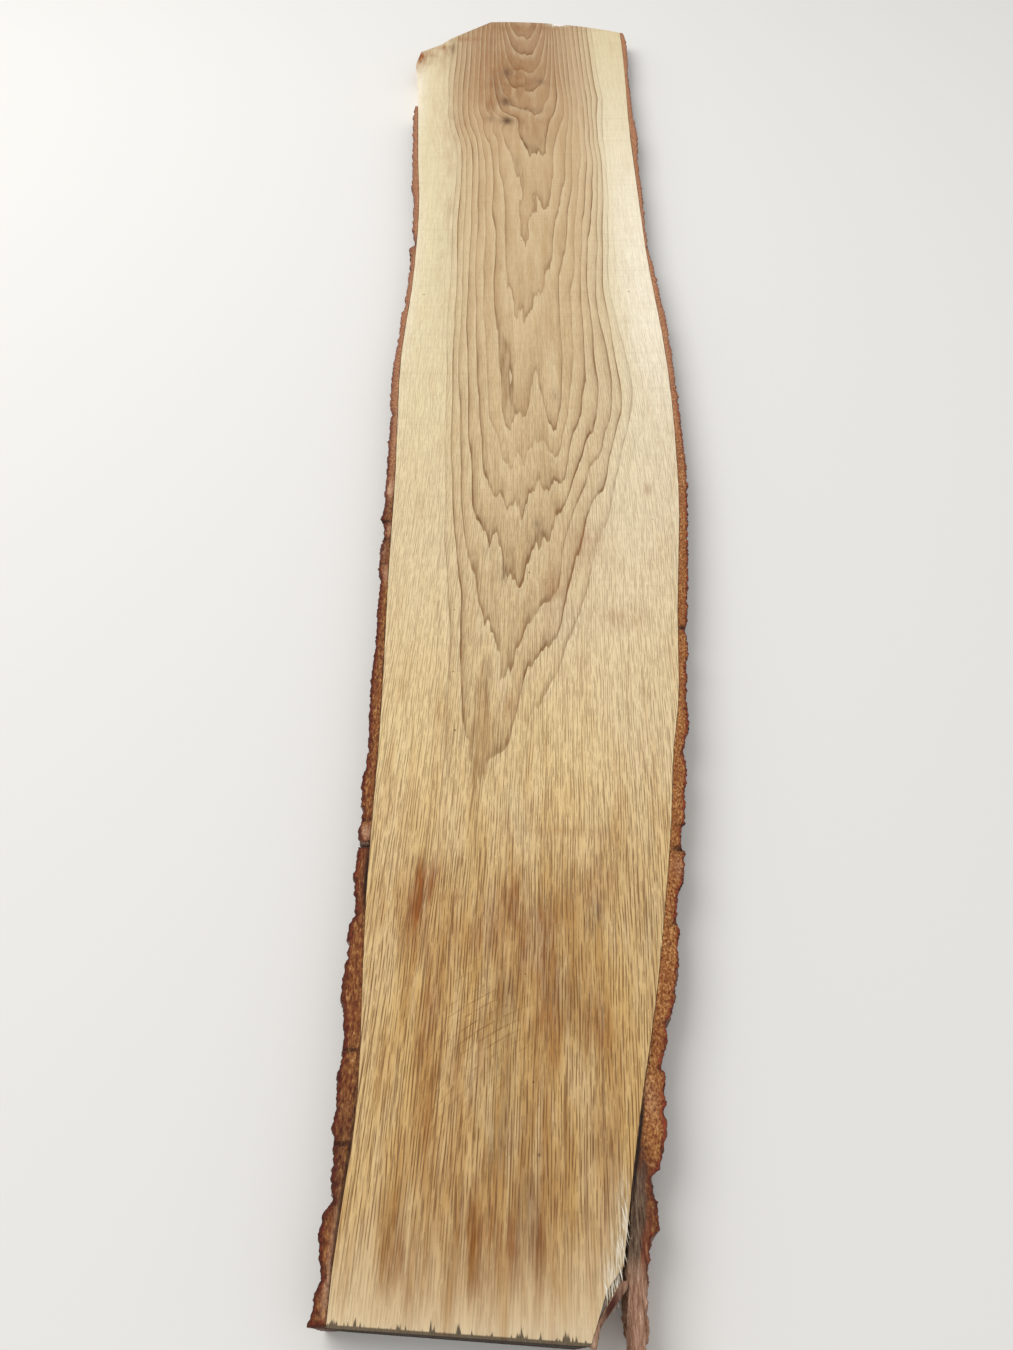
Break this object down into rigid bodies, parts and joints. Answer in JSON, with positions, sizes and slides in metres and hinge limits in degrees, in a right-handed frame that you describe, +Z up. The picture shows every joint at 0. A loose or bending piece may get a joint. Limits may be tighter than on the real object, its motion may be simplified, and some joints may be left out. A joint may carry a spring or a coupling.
{
  "type": "live-edge timber board",
  "caption": "Wide live-edge oak board, sawn flat on both faces, tapering to a narrow end, with bark on its long edges.",
  "frame": {"origin": "middle of the underside, on the snap line that halves the butt end, at half the board's length", "axes": "+Y along the board from the narrow end to the butt, +Z up from the sawn underside, +X to the right as seen from the narrow end"},
  "size_m": [0.4358, 2.4453, 0.034],
  "materials": {
    "oak_wood": "sawn, untreated",
    "oak_bark": "rough bark"
  },
  "bodies": {
    "root": {"board": "oak_wood", "bark_left_far": "oak_bark", "bark_left_near": "oak_bark", "bark_right": "oak_bark", "bark_sliver": "oak_bark"}
  },
  "joints": []
}
